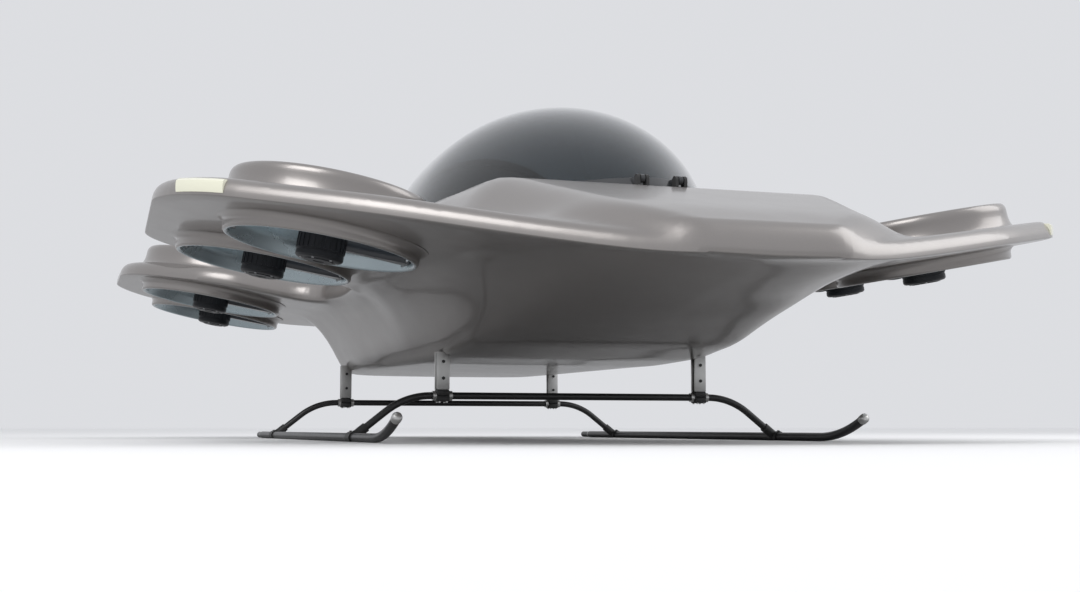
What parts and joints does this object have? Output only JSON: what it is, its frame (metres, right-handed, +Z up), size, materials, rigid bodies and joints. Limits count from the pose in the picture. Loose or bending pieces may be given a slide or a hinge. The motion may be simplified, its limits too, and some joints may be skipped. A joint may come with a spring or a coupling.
{
  "type": "two-seat electric vertical take-off aircraft with ducted lift fans",
  "caption": "Low silver aircraft with a boat-like hull, canted pods holding ducted lift fans, a front-hinged bubble canopy and tube skids.",
  "frame": {"origin": "on the ground under the middle of the aircraft", "axes": "+Z up, nose towards -Y, +X towards the left hand of someone facing the nose"},
  "size_m": [3.056, 4.18, 1.25],
  "materials": {
    "body_paint": "satin metallic silver-grey paint",
    "duct_silver": "glossy silver",
    "motor_black": "black anodised",
    "carbon": "black carbon fibre",
    "rotor_black": "black carbon blades",
    "canopy_frame": "dark grey satin",
    "canopy_glass": "tinted clear",
    "dark_steel": "dark satin",
    "aluminium": "satin",
    "gear_tube": "dark grey satin",
    "lamp": "warm white lens",
    "seat": "soft dark leather",
    "cabin_trim": "soft grained plastic",
    "battery": "plain box"
  },
  "bodies": {
    "airframe": {"hull_lower": "body_paint", "hull_upper": "body_paint", "canopy_hinge": "dark_steel", "pod_front_right": "body_paint", "duct_rings_front_right": "duct_silver", "lift_motors_front_right": "motor_black", "motor_arms_front_right": "carbon", "pod_front_left": "body_paint", "duct_rings_front_left": "duct_silver", "lift_motors_front_left": "motor_black", "motor_arms_front_left": "carbon", "pod_rear_right": "body_paint", "duct_rings_rear_right": "duct_silver", "lift_motors_rear_right": "motor_black", "motor_arms_rear_right": "carbon", "pod_rear_left": "body_paint", "duct_rings_rear_left": "duct_silver", "lift_motors_rear_left": "motor_black", "motor_arms_rear_left": "carbon", "headlamp_right": "lamp", "headlamp_left": "lamp", "skid_right": "gear_tube", "skid_left": "gear_tube", "skid_end_caps": "aluminium", "cross_tube_front": "gear_tube", "cross_tube_rear": "gear_tube", "gear_posts": "aluminium", "gear_clamps": "dark_steel", "skid_saddles": "dark_steel", "seat_right": "seat", "seat_left": "seat", "centre_console": "cabin_trim", "instrument_panel": "cabin_trim", "control_sticks": "motor_black", "battery_pack": "battery"},
    "canopy": {"canopy_frame": "canopy_frame", "canopy_glass": "canopy_glass"},
    "rotor_front_right_1": {"rotor_front_right_1": "rotor_black"},
    "rotor_front_right_2": {"rotor_front_right_2": "rotor_black"},
    "rotor_front_left_1": {"rotor_front_left_1": "rotor_black"},
    "rotor_front_left_2": {"rotor_front_left_2": "rotor_black"},
    "rotor_rear_right_1": {"rotor_rear_right_1": "rotor_black"},
    "rotor_rear_right_2": {"rotor_rear_right_2": "rotor_black"},
    "rotor_rear_left_1": {"rotor_rear_left_1": "rotor_black"},
    "rotor_rear_left_2": {"rotor_rear_left_2": "rotor_black"}
  },
  "joints": [
    {"name": "spin_front_right_1", "type": "hinge", "parent": "airframe", "child": "rotor_front_right_1", "pos_m": [1.0245, -1.2, 0.6851], "axis": [-0.1788, 0, 0.9839], "continuous": true},
    {"name": "spin_front_right_2", "type": "hinge", "parent": "airframe", "child": "rotor_front_right_2", "pos_m": [1.0934, -0.566, 0.6976], "axis": [-0.1788, 0, 0.9839], "continuous": true},
    {"name": "spin_front_left_1", "type": "hinge", "parent": "airframe", "child": "rotor_front_left_1", "pos_m": [-1.0245, -1.2, 0.6851], "axis": [0.1788, 0, 0.9839], "continuous": true},
    {"name": "spin_front_left_2", "type": "hinge", "parent": "airframe", "child": "rotor_front_left_2", "pos_m": [-1.0934, -0.566, 0.6976], "axis": [0.1788, 0, 0.9839], "continuous": true},
    {"name": "spin_rear_right_1", "type": "hinge", "parent": "airframe", "child": "rotor_rear_right_1", "pos_m": [1.0757, 0.992, 0.6944], "axis": [-0.1788, 0, 0.9839], "continuous": true},
    {"name": "spin_rear_right_2", "type": "hinge", "parent": "airframe", "child": "rotor_rear_right_2", "pos_m": [0.9832, 1.6, 0.6776], "axis": [-0.1788, 0, 0.9839], "continuous": true},
    {"name": "spin_rear_left_1", "type": "hinge", "parent": "airframe", "child": "rotor_rear_left_1", "pos_m": [-1.0757, 0.992, 0.6944], "axis": [0.1788, 0, 0.9839], "continuous": true},
    {"name": "spin_rear_left_2", "type": "hinge", "parent": "airframe", "child": "rotor_rear_left_2", "pos_m": [-0.9832, 1.6, 0.6776], "axis": [0.1788, 0, 0.9839], "continuous": true},
    {"name": "canopy_lift", "type": "hinge", "parent": "airframe", "child": "canopy", "pos_m": [0, -1.34, 0.822], "axis": [1, 0, 0], "range_deg": [0, 50]}
  ]
}
